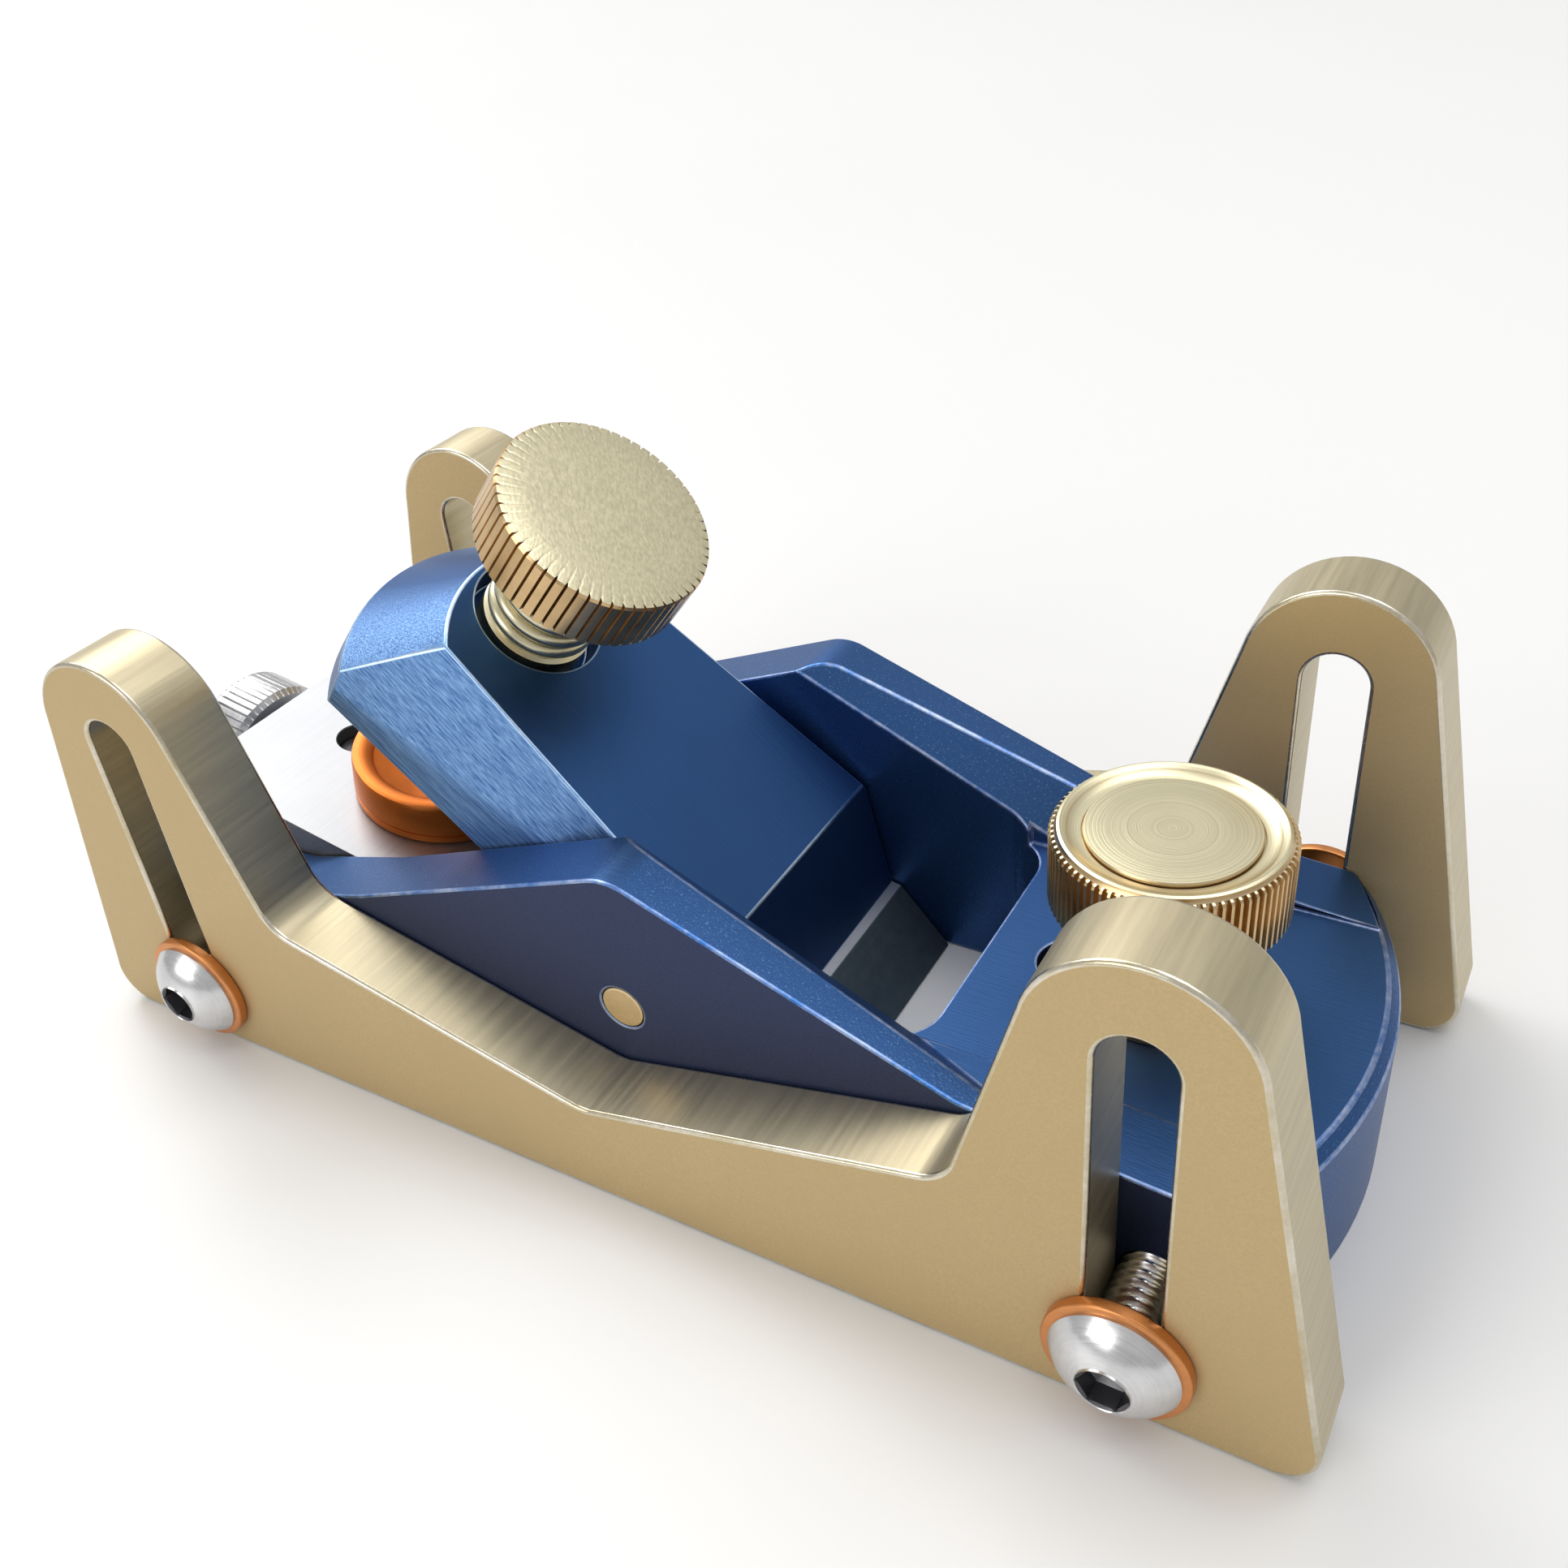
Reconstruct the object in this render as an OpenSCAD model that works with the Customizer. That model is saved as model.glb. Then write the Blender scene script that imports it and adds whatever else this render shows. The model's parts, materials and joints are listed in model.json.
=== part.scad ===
// Low-angle block plane with two height-setting side skids.
// +X runs towards the toe, +Z up; the origin is the middle of the sole.

/* [Body] */
// Width of the plane body between the skids
body_w = 40; // [34:0.5:52]
// Thickness of each cheek beside the blade
cheek_w = 6.3; // [4:0.1:8]
// Height of the flat deck at the toe
deck_h = 15; // [12:0.5:20]
// Height of the cheeks at their peak
peak_h = 28.3; // [24:0.5:34]
// Slope of the cheeks either side of the peak
cheek_slope = 21; // [15:0.5:25]
// Radius of the nose seen from above
nose_r = 36; // [32:1:60]

/* [Blade] */
// Bed angle of the blade above the sole
bed_angle = 12; // [10:0.5:15]
// Blade thickness
blade_t = 4.7; // [3.5:0.1:5.8]
// Angle ground on the upper side of the blade
grind_angle = 38; // [30:1:45]

/* [Toe] */
// Opening between the cutting edge and the toe plate
mouth = 3.6; // [3:0.1:5]
// Thickness of the sliding toe plate
toe_t = 6; // [4.5:0.25:8]
// Radius of the toe knob
toe_knob_r = 9; // [7.5:0.25:10]

/* [Lever cap] */
// Slope of the top of the lever cap
cap_angle = 40; // [36:0.5:44]
// Thickness of the lever cap
cap_t = 12.5; // [10:0.5:14]
// Height of the cross pin above the sole
pin_h = 15.2; // [14.5:0.1:16]
// Radius of the cross pin
pin_r = 2; // [1.5:0.1:2.6]
// Radius of the thumbscrew knob
thumb_r = 9.4; // [8:0.2:10.4]
// Height of the thumbscrew head above the cap
thumb_rise = 14.9; // [12:0.2:18]

/* [Skids] */
// Half the distance between the two uprights
post_x = 45; // [43:0.5:56]
// Height of the centre of each rounded upright top
post_h = 33.4; // [28:0.2:40]
// Radius of the rounded upright tops
post_r = 7.8; // [6.5:0.1:9]
// Thickness of each skid
skid_t = 6.6; // [5:0.2:8]
// Lowest height of the rail between the uprights
rail_h = 9.5; // [8:0.25:12]
// Width of the height slots
slot_w = 5.2; // [5.1:0.1:6.4]
// Height of the clamp screws above the sole
screw_h = 6.4; // [6:0.1:8]

/* [Hidden] */
$fn = 96;
clear = 0.05;            // clearance of the running fits
screw_r = 2.5;           // clamp screws and stud
head_r = 4.75;
head_h = 2.75;
washer_r = 5.4;
washer_t = 1;
thread_step = 0.8;
side_y = body_w / 2;
wall_y = side_y - cheek_w;
blade_w = 2 * wall_y - 0.4;
cap_w = 2 * wall_y - 0.8;
nose_x = post_x + 11;
tail_x = post_x + 9;
edge_x = 13.6;           // cutting edge
edge_z = 0.1;
throat_x = edge_x + 10.4;
toe_w = 2 * wall_y - 0.4;
toe_x = edge_x + mouth;
toe_front = nose_x - 8.5;
toe_open = 1;            // travel of the toe plate away from the edge
skid_y = side_y + clear;
post_out = 11;           // lean of the outer edges of the uprights
post_in = 16.5;          // lean of the inner edges of the uprights
rail_slope = 13.5;
slot_top = post_h - 0.4;
foot_r = 3.2;
fillet_r = 4;
facet_fall = 25.2;       // how the inner facet of each cheek falls towards the toe
facet_tip = 45;          // how it tips down towards the throat
rail_top = deck_h + 1.2; // side rails beside the deck
peak_x = 1;
peak_round = 5;
low_x = (peak_h - deck_h - 2.2) / tan(cheek_slope);
rail_x = post_x - 15;
merge = 0.02;            // how far pieces of one outline run into each other
pin_x = 0.5;
cap_x = -18.4;
cap_z = 37.3;
cap_front = 31.2;
cap_tail = 13;
cap_arc = 20.4;
cap_tip = 7.8;
shank_r = 3.9;
ball_r = 2.6;
pad_r = 9.3;
pad_h = 4.6;
ball_lift = 3.8;
// how far down the thumbscrew its ball sits for the pad to meet the blade
ball_drop = (cap_z + cap_x * tan(bed_angle) - blade_z(0) - (ball_lift + clear) / cos(bed_angle))
    / (cos(cap_angle) + sin(cap_angle) * tan(bed_angle));
toe_knob_x = nose_x - 17.4;
toe_knob_z = 24;
toe_knob_h = 7;
toe_slot_back = 10.2;
rod_drop = 3.5;
rod_r = 2.5;
dial_r = 7.8;
dial_t = 6;
blade_l = (tail_x + edge_x) / cos(bed_angle) + 2.9;
hole_s = blade_l - 9.8;
pocket_front = hole_s - 6.2;
pocket_back = hole_s + 4.8;
yoke_w = 7;
yoke_l = 5;
tooth_count = 60;

// Height of the underside of the blade at a distance along the plane.
function bed_z(x) = edge_z + (edge_x - x) * tan(bed_angle);
// Height of the top of the blade at a distance along the plane.
function blade_z(x) = bed_z(x) + blade_t / cos(bed_angle);
// A point of the lever cap, by its run down the slope and its rise off it.
function cap_at(run, rise) = [cap_x + run * cos(cap_angle) + rise * sin(cap_angle),
    cap_z - run * sin(cap_angle) + rise * cos(cap_angle)];

// Draws a side view and gives it a width about the middle plane.
module side_slab(width) {
    rotate([90, 0, 0]) linear_extrude(width, center = true) children();
}

// Draws in the frame of the bed: -X climbs the bed, Z stands off it.
module on_bed() {
    translate([edge_x, 0, edge_z]) rotate([0, bed_angle, 0]) children();
}

// Draws in the frame of the lever cap: -X climbs the slope, Z stands off it.
module on_cap() {
    translate([cap_x, 0, cap_z]) rotate([0, cap_angle, 0]) children();
}

// Draws at each of the two sides of the plane.
module both_sides() {
    children();
    mirror([0, 1, 0]) children();
}

module ring(outer, inner, height) {
    difference() {
        cylinder(h = height, r = outer);
        translate([0, 0, -1]) cylinder(h = height + 2, r = inner);
    }
}

// Thread crests and roots as a stack of rings.
module thread(radius, length) {
    for (i = [0 : floor(length / thread_step) - 1])
        translate([0, 0, i * thread_step]) {
            cylinder(h = thread_step / 2, r1 = radius - 0.4, r2 = radius);
            translate([0, 0, thread_step / 2])
                cylinder(h = thread_step / 2, r1 = radius, r2 = radius - 0.4);
        }
}

// A knurled disc with straight teeth round its rim.
module toothed_disc(radius, height, depth) {
    linear_extrude(height) difference() {
        circle(radius);
        for (i = [0 : tooth_count - 1])
            rotate(i * 360 / tooth_count) translate([radius + 0.15, 0])
                polygon([[0, -0.34], [-0.15 - depth, -0.12], [-0.15 - depth, 0.12], [0, 0.34]]);
    }
}

// ---- body ----

module cheek_profile() {
    crown_x = peak_round * sin(cheek_slope);
    crown_z = peak_h - peak_round + peak_round * cos(cheek_slope);
    apex_z = peak_h - peak_round + peak_round / cos(cheek_slope);
    front_x = peak_x + low_x;
    front_z = apex_z - low_x * tan(cheek_slope);
    polygon([[-tail_x, 0], [nose_x + 2, 0], [nose_x + 2, deck_h],
        [nose_x - 3, deck_h], [front_x + 5, front_z - 0.9], [front_x, front_z],
        [peak_x + crown_x, crown_z], [peak_x - crown_x, crown_z],
        [peak_x - low_x, front_z], [peak_x - low_x - 5, front_z - 1.5],
        [-40, 14], [-tail_x, 14.8 - tail_x * 0.045]]);
    translate([peak_x, peak_h - peak_round]) circle(peak_round);
}

module body_plan() {
    round_r = 3;
    arc_x = nose_x - nose_r;
    corner_y = side_y - round_r;
    corner_x = arc_x + sqrt((nose_r - round_r) * (nose_r - round_r) - corner_y * corner_y);
    reach = 2 * nose_r;
    translate([-tail_x + round_r, -side_y]) square([corner_x + tail_x - round_r, body_w]);
    translate([-tail_x, -corner_y]) square([tail_x, 2 * corner_y]);
    for (side = [-1, 1]) {
        translate([corner_x, side * corner_y]) circle(round_r);
        translate([-tail_x + round_r, side * corner_y]) circle(round_r);
    }
    intersection() {
        translate([arc_x, 0]) circle(nose_r, $fn = 180);
        polygon([[arc_x, 0],
            [arc_x + reach * (corner_x - arc_x), reach * corner_y],
            [arc_x + reach * (corner_x - arc_x), -reach * corner_y]]);
    }
}

// The throat and blade channel seen from above, with rounded front corners.
module throat_plan() {
    corner = 4;
    translate([-90, -wall_y]) square([90 + throat_x - corner, 2 * wall_y]);
    translate([-90, -wall_y + corner]) square([90 + throat_x, 2 * (wall_y - corner)]);
    for (side = [-1, 1])
        translate([throat_x - corner, side * (wall_y - corner)]) circle(corner);
}

module body() {
    lip_x = edge_x - 4;
    color("steelblue") difference() {
        intersection() {
            side_slab(body_w) cheek_profile();
            linear_extrude(60) body_plan();
        }
        // blade channel above the bed, and the throat down to the sole
        intersection() {
            side_slab(body_w) polygon([[-90, bed_z(-90)], [lip_x, bed_z(lip_x)], [lip_x, -1],
                [throat_x + 1, -1], [throat_x + 1, 60], [-90, 60]]);
            translate([0, 0, -2]) linear_extrude(70) throat_plan();
        }
        // level deck between the side rails
        translate([throat_x - 2, -wall_y, deck_h]) cube([nose_x, 2 * wall_y, 20]);
        // sloping inner facet of each cheek, down to the side rails
        intersection() {
            both_sides() translate([peak_x, wall_y, peak_h - 1.5]) rotate([facet_tip, facet_fall, 0])
                translate([-10, -6, 0]) cube([80, 36, 15]);
            translate([-20, -side_y - 1, rail_top]) cube([20 + nose_x, body_w + 2, 30]);
        }
        // recess for the toe plate
        translate([lip_x + 1, -toe_w / 2 - clear, -1])
            cube([toe_front + toe_open + 0.3 - lip_x - 1, toe_w + 2 * clear, toe_t + 1 + clear]);
        // slot for the toe stud
        translate([toe_knob_x - toe_slot_back + screw_r, -screw_r - 0.3, 0])
            cube([toe_slot_back - screw_r + toe_open + 0.2, 2 * screw_r + 0.6, 30]);
        translate([toe_knob_x - toe_slot_back + screw_r + 0.3, 0, 0])
            cylinder(h = 30, r = screw_r + 0.3);
        translate([toe_knob_x + toe_open + 0.2, 0, 0]) cylinder(h = 30, r = screw_r + 0.3);
        // cross pin and clamp screw holes
        translate([pin_x, 0, pin_h]) rotate([90, 0, 0])
            cylinder(h = body_w + 2, r = pin_r, center = true);
        both_sides() for (x = [-post_x, post_x])
            translate([x, side_y - 6.1, screw_h]) rotate([-90, 0, 0])
                cylinder(h = 10, r = screw_r + clear);
        // adjuster pocket, and the bore for its rod
        on_bed() {
            translate([-pocket_back, -yoke_w / 2 - clear, -rod_drop - 4])
                cube([pocket_back - pocket_front, yoke_w + 2 * clear, 12]);
            translate([-90, 0, -rod_drop]) rotate([0, 90, 0])
                cylinder(h = 90 - pocket_front + 12, r = rod_r + clear);
        }
        // chamfer round the nose
        difference() {
            translate([nose_x - nose_r, 0, deck_h - 1]) ring(nose_r + 10, nose_r - 1, 10);
            translate([nose_x - nose_r, 0, deck_h - 1.01])
                cylinder(h = 1.01, r1 = nose_r + 0.01, r2 = nose_r - 1, $fn = 180);
            translate([-60, -40, 0]) cube([60 + nose_x - nose_r, 80, 40]);
        }
    }
}

// ---- toe ----

module toe_plate() {
    color("slategray") difference() {
        side_slab(toe_w) polygon([[toe_x, 0], [toe_front, 0], [toe_front, toe_t],
            [toe_x + toe_t / 2 + 0.2, toe_t]]);
        translate([toe_knob_x, 0, 1]) cylinder(h = 20, r = screw_r + clear);
    }
}

module toe_washer() {
    color("peru") translate([toe_knob_x, 0, deck_h]) ring(6.6, screw_r + 0.2, washer_t);
}

module toe_knob() {
    color("khaki") translate([toe_knob_x, 0, 0]) difference() {
        union() {
            translate([0, 0, deck_h + washer_t])
                cylinder(h = toe_knob_z - deck_h - washer_t, r = 5.2);
            translate([0, 0, toe_knob_z]) toothed_disc(toe_knob_r, toe_knob_h - 0.6, 0.45);
            translate([0, 0, toe_knob_z + toe_knob_h - 0.6])
                cylinder(h = 0.6, r1 = toe_knob_r - 0.5, r2 = toe_knob_r - 1.1);
        }
        // groove round the middle disc
        translate([0, 0, toe_knob_z + toe_knob_h - 0.7]) ring(7.6, 6.5, 2);
        translate([0, 0, deck_h]) cylinder(h = 14, r = screw_r);
    }
}

module toe_stud() {
    color("silver") translate([toe_knob_x, 0, 1.4])
        cylinder(h = deck_h + 14 - 1.4, r = screw_r);
}

// ---- blade and its adjuster ----

module blade() {
    color("gainsboro") on_bed() difference() {
        side_slab(blade_w) polygon([[0, 0], [-blade_t / tan(grind_angle), blade_t],
            [-blade_l, blade_t], [-blade_l, 0]]);
        translate([-hole_s, 0, -1]) cylinder(h = blade_t + 2, r = 2.2);
    }
}

module adjuster_yoke() {
    color("dimgray") on_bed() translate([-hole_s, 0, 0]) difference() {
        union() {
            translate([-yoke_l / 2, -yoke_w / 2, -rod_drop - 3.5])
                cube([yoke_l, yoke_w, rod_drop + 3.3]);
            translate([0, 0, -0.5]) cylinder(h = blade_t - 0.9, r = 2.2);
        }
        translate([-yoke_l, 0, -rod_drop]) rotate([0, 90, 0])
            cylinder(h = 2 * yoke_l, r = rod_r - 0.5 + clear);
    }
}

module adjuster_rod() {
    neck_l = yoke_l + 0.1;
    rod_end = pocket_front - 9;
    color("silver") on_bed() translate([0, 0, -rod_drop]) rotate([0, -90, 0]) {
        translate([0, 0, rod_end]) cylinder(h = hole_s - neck_l / 2 - rod_end, r = rod_r);
        translate([0, 0, hole_s - neck_l / 2]) cylinder(h = neck_l, r = rod_r - 0.5);
        translate([0, 0, hole_s + neck_l / 2])
            cylinder(h = blade_l + 2 + dial_t - 1.5 - hole_s - neck_l / 2, r = rod_r);
    }
}

module adjuster_knob() {
    color("whitesmoke") on_bed() translate([-blade_l - 2, 0, -rod_drop]) rotate([0, -90, 0])
        difference() {
            union() {
                translate([0, 0, 0.6]) toothed_disc(dial_r, dial_t - 1.2, 0.4);
                cylinder(h = 0.6, r1 = dial_r - 1.1, r2 = dial_r - 0.5);
                translate([0, 0, dial_t - 0.6])
                    cylinder(h = 0.6, r1 = dial_r - 0.5, r2 = dial_r - 1.1);
            }
            translate([0, 0, -1]) cylinder(h = dial_t - 0.5, r = rod_r);
        }
}

// ---- lever cap and its thumbscrew ----

module lever_cap() {
    ridge_y = cap_w / 2 - 3.35;
    taper = 5.7;
    bevel = 69;
    color("royalblue") difference() {
        intersection() {
            side_slab(cap_w) polygon([cap_at(cap_front, 0), [cap_tip, blade_z(cap_tip)],
                [cap_tip - 2.2, blade_z(cap_tip - 2.2)], [-3, blade_z(-3) + 1.2],
                cap_at(18, -cap_t), cap_at(-cap_tail, -cap_t), cap_at(-cap_tail, 0)]);
            // rounded tail, sloping out towards the underside
            on_cap() union() {
                intersection() {
                    translate([cap_arc - cap_tail, 0, -40]) cylinder(h = 41, r = cap_arc, $fn = 120);
                    translate([cap_arc - cap_tail, 0, -40])
                        cylinder(h = 40, r1 = cap_arc - 6.5 + 28.8, r2 = cap_arc - 6.5, $fn = 120);
                }
                translate([cap_arc - cap_tail, -30, -60]) cube([60, 60, 61]);
            }
        }
        // long bevel down each side
        both_sides() on_cap() translate([0, ridge_y, 0]) rotate([0, 0, taper])
            rotate([-bevel, 0, 0]) translate([-60, 0, 0]) cube([120, 40, 40]);
        on_cap() {
            translate([0, 0, -40]) cylinder(h = 60, r = shank_r + clear);
            translate([0, 0, -3]) cylinder(h = 10, r = 5.8);
        }
        translate([pin_x, 0, pin_h]) rotate([90, 0, 0])
            cylinder(h = body_w, r = pin_r + clear, center = true);
    }
}

module cross_pin() {
    color("burlywood") translate([pin_x, 0, pin_h]) rotate([90, 0, 0])
        cylinder(h = body_w, r = pin_r, center = true);
}

module thumbscrew_shank() {
    color("lightyellow") on_cap() {
        translate([0, 0, -ball_drop]) sphere(ball_r);
        translate([0, 0, -ball_drop]) cylinder(h = 6, r = 1.9);
        translate([0, 0, 5.2 - ball_drop]) cylinder(h = ball_drop - 7.7, r = shank_r);
        translate([0, 0, -2.5]) cylinder(h = 0.5, r = 5);
        for (i = [0 : 2]) translate([0, 0, -2 + i * 1.6]) {
            cylinder(h = 0.8, r1 = 4.5, r2 = 5);
            translate([0, 0, 0.8]) cylinder(h = 0.8, r1 = 5, r2 = 4.5);
        }
        translate([0, 0, 2.8]) cylinder(h = thumb_rise - 7.8, r = 5);
        translate([0, 0, thumb_rise - 5.1]) cylinder(h = 3.6, r = 3);
    }
}

module thumbscrew_knob() {
    head_t = 6.2;
    color("khaki") on_cap() translate([0, 0, thumb_rise - head_t]) difference() {
        union() {
            translate([0, 0, 0.6]) toothed_disc(thumb_r, head_t - 1.2, 0.5);
            cylinder(h = 0.6, r1 = thumb_r - 1.2, r2 = thumb_r - 0.6);
            translate([0, 0, head_t - 0.6])
                cylinder(h = 0.6, r1 = thumb_r - 0.55, r2 = thumb_r - 0.9);
        }
        translate([0, 0, -1]) cylinder(h = 2.2, r = 5);
        translate([0, 0, -1]) cylinder(h = 5.7, r = 3);
    }
}

module pressure_pad() {
    pad_x = cap_at(0, -ball_drop)[0];
    pad_z = cap_at(0, -ball_drop)[1];
    color("darkorange") translate([pad_x, 0, pad_z]) rotate([0, bed_angle, 0]) difference() {
        translate([0, 0, -ball_lift]) cylinder(h = pad_h, r = pad_r);
        sphere(ball_r + clear);
        // dished top inside the rim
        translate([0, 0, -1]) cylinder(h = 1.2, r1 = 3.2, r2 = 7.4);
        translate([0, 0, 0.2]) cylinder(h = 2, r = 7.4);
    }
}

// ---- skids ----

// Gives each outline drawn inside it the thickness of a skid.
module plates() {
    for (i = [0 : $children - 1]) linear_extrude(skid_t) children(i);
}

// One upright with its foot and its fillet, lying flat.
module post() {
    side_r = post_r - merge;
    toe_r = foot_r - merge;
    out_x = post_x + side_r / cos(post_out) + post_h * tan(post_out);
    in_x = post_x - side_r / cos(post_in) - post_h * tan(post_in);
    foot_x = out_x - foot_r * tan(post_out) - toe_r / cos(post_out);
    corner_x = (in_x + rail_h * tan(post_in)) / (1 - tan(rail_slope) * tan(post_in));
    corner_z = rail_h + corner_x * tan(rail_slope);
    reach = fillet_r * tan((90 - post_in - rail_slope) / 2);
    plates() {
        translate([post_x, post_h]) circle(post_r);
        translate([foot_x, foot_r]) circle(foot_r);
        polygon([[post_x + side_r * cos(post_out), post_h + side_r * sin(post_out)],
            [foot_x + toe_r * cos(post_out), foot_r + toe_r * sin(post_out)],
            [foot_x, 0], [in_x, 0],
            [post_x - side_r * cos(post_in), post_h + side_r * sin(post_in)]]);
        // fillet between the rail and the upright
        difference() {
            polygon([[corner_x + 2, corner_z - 2],
                [corner_x + reach * sin(post_in), corner_z + reach * cos(post_in)],
                [corner_x - reach * cos(rail_slope), corner_z - reach * sin(rail_slope)]]);
            translate([corner_x - reach * cos(rail_slope) - fillet_r * sin(rail_slope),
                corner_z - reach * sin(rail_slope) + fillet_r * cos(rail_slope)])
                circle(fillet_r + merge);
        }
    }
}

// The low rail between the uprights, lying flat.
module rail() {
    dip_r = 5;
    dip_x = dip_r * sin(rail_slope);
    end_z = rail_h + rail_x * tan(rail_slope);
    plates() {
        polygon([[-post_x, 0], [post_x, 0], [rail_x, end_z], [0, rail_h], [-rail_x, end_z]]);
        difference() {
            polygon([[0, rail_h - 1], [dip_x, rail_h + dip_x * tan(rail_slope)],
                [-dip_x, rail_h + dip_x * tan(rail_slope)]]);
            translate([0, rail_h + dip_r / cos(rail_slope)]) circle(dip_r + merge);
        }
    }
}

module height_slot() {
    translate([0, screw_h, -1]) cylinder(h = skid_t + 2, r = slot_w / 2);
    translate([0, slot_top, -1]) cylinder(h = skid_t + 2, r = slot_w / 2);
    translate([-slot_w / 2, screw_h, -1]) cube([slot_w, slot_top - screw_h, skid_t + 2]);
}

module skid() {
    color("tan") translate([0, skid_y, 0]) rotate([90, 0, 0]) mirror([0, 0, 1]) difference() {
        union() {
            rail();
            post();
            mirror([1, 0, 0]) post();
        }
        for (x = [-post_x, post_x]) translate([x, 0, 0]) height_slot();
    }
}

module left_skid() {
    skid();
}

module right_skid() {
    mirror([0, 1, 0]) skid();
}

// A button-head clamp screw pointing inwards from the left side.
module clamp_screw(x) {
    color("silver") translate([x, skid_y + skid_t + washer_t, screw_h]) rotate([-90, 0, 0])
        difference() {
            union() {
                cylinder(h = 0.5, r = head_r);
                intersection() {
                    translate([0, 0, 0.5]) cylinder(h = head_h - 0.5, r = head_r);
                    translate([0, 0, head_h - 6.2]) sphere(6.2);
                }
                translate([0, 0, -skid_t - washer_t]) thread(screw_r, skid_t + washer_t);
                translate([0, 0, -skid_t - washer_t - 6]) cylinder(h = 6, r = screw_r);
                translate([0, 0, -skid_t - washer_t - 1])
                    cylinder(h = skid_t + washer_t + 2, r = screw_r - 0.4);
            }
            translate([0, 0, head_h - 1.9]) cylinder(h = 4, r = 1.75, $fn = 6);
        }
}

module skid_washer(x) {
    color("peru") translate([x, skid_y + skid_t, screw_h]) rotate([-90, 0, 0])
        ring(washer_r, screw_r + 0.2, washer_t);
}

module left_front_screw() {
    clamp_screw(post_x);
}

module left_rear_screw() {
    clamp_screw(-post_x);
}

module right_front_screw() {
    mirror([0, 1, 0]) clamp_screw(post_x);
}

module right_rear_screw() {
    mirror([0, 1, 0]) clamp_screw(-post_x);
}

module left_front_washer() {
    skid_washer(post_x);
}

module left_rear_washer() {
    skid_washer(-post_x);
}

module right_front_washer() {
    mirror([0, 1, 0]) skid_washer(post_x);
}

module right_rear_washer() {
    mirror([0, 1, 0]) skid_washer(-post_x);
}

body();
toe_plate();
toe_knob();
toe_stud();
toe_washer();
blade();
lever_cap();
cross_pin();
thumbscrew_knob();
thumbscrew_shank();
pressure_pad();
adjuster_knob();
adjuster_rod();
adjuster_yoke();
left_skid();
right_skid();
left_front_screw();
left_rear_screw();
right_front_screw();
right_rear_screw();
left_front_washer();
left_rear_washer();
right_front_washer();
right_rear_washer();
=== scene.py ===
"""Finished pieces, metal finishes and a small studio for a low-angle block plane."""

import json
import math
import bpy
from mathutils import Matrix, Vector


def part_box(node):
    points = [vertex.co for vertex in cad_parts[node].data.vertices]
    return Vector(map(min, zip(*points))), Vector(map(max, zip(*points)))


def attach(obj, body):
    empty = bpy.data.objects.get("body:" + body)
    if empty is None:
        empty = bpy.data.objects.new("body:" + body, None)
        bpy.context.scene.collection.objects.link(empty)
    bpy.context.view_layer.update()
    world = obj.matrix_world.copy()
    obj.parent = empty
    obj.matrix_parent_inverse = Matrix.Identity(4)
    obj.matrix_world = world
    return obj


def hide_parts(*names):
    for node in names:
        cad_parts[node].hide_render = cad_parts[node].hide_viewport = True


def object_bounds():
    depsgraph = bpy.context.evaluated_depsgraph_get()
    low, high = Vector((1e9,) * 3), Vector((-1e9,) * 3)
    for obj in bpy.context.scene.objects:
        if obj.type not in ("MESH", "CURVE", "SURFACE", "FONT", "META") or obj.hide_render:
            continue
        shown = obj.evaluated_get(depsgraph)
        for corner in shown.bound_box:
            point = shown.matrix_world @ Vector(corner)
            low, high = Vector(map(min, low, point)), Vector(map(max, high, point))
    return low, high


bl_info = {
    "name": "Block Plane Finisher",
    "version": (1, 0, 0),
    "blender": (4, 5, 0),
    "location": "3D View > Sidebar > Block Plane",
    "description": "Makes the finished pieces of a low-angle block plane round its frame",
    "category": "Object",
}

import bpy
from bpy.props import FloatProperty, FloatVectorProperty, IntProperty, PointerProperty
from mathutils import Matrix, Vector

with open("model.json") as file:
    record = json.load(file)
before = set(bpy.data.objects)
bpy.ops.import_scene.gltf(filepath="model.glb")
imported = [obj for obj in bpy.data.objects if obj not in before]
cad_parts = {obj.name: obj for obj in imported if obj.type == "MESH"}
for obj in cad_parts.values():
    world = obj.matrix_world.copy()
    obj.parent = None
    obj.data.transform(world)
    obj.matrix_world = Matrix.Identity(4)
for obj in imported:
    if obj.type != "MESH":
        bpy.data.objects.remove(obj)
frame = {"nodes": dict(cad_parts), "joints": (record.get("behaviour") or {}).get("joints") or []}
CAD_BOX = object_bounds()
PARTS = frame["nodes"]
JOINTS = {joint["name"]: joint for joint in frame["joints"]}
MM = 0.001
UP = Vector((0, 0, 1))
WELD = 2e-6         # corners closer than this are one corner, in metres
LEVEL = 1e-6        # how far a flat side may be out of true, in metres
SHORTEST = 0.05     # the shortest step along a sawn outline, in millimetres
LEAST_POINTS = 8    # an outline with fewer points is no edge of a plate


# ---- places taken from the frame ----

def joint_axis(name):
    """The point and the direction of a joint."""
    joint = JOINTS[name]
    return Vector(joint["pos_m"]), Vector(joint["axis"]).normalized()


def reach(node, point, axis):
    """How far a part runs along an axis either side of a point, and its radius round it."""
    low, high, radius = 1e9, -1e9, 0.0
    for vertex in PARTS[node].data.vertices:
        along = (vertex.co - point).dot(axis)
        off = (vertex.co - point - along * axis).length
        low, high, radius = min(low, along), max(high, along), max(radius, off)
    return low, high, radius


def stand(point, axis):
    """The placement that stands an upright piece on a point, along an axis."""
    return Matrix.Translation(point) @ UP.rotation_difference(axis).to_matrix().to_4x4()


# ---- modelling ----

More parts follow.
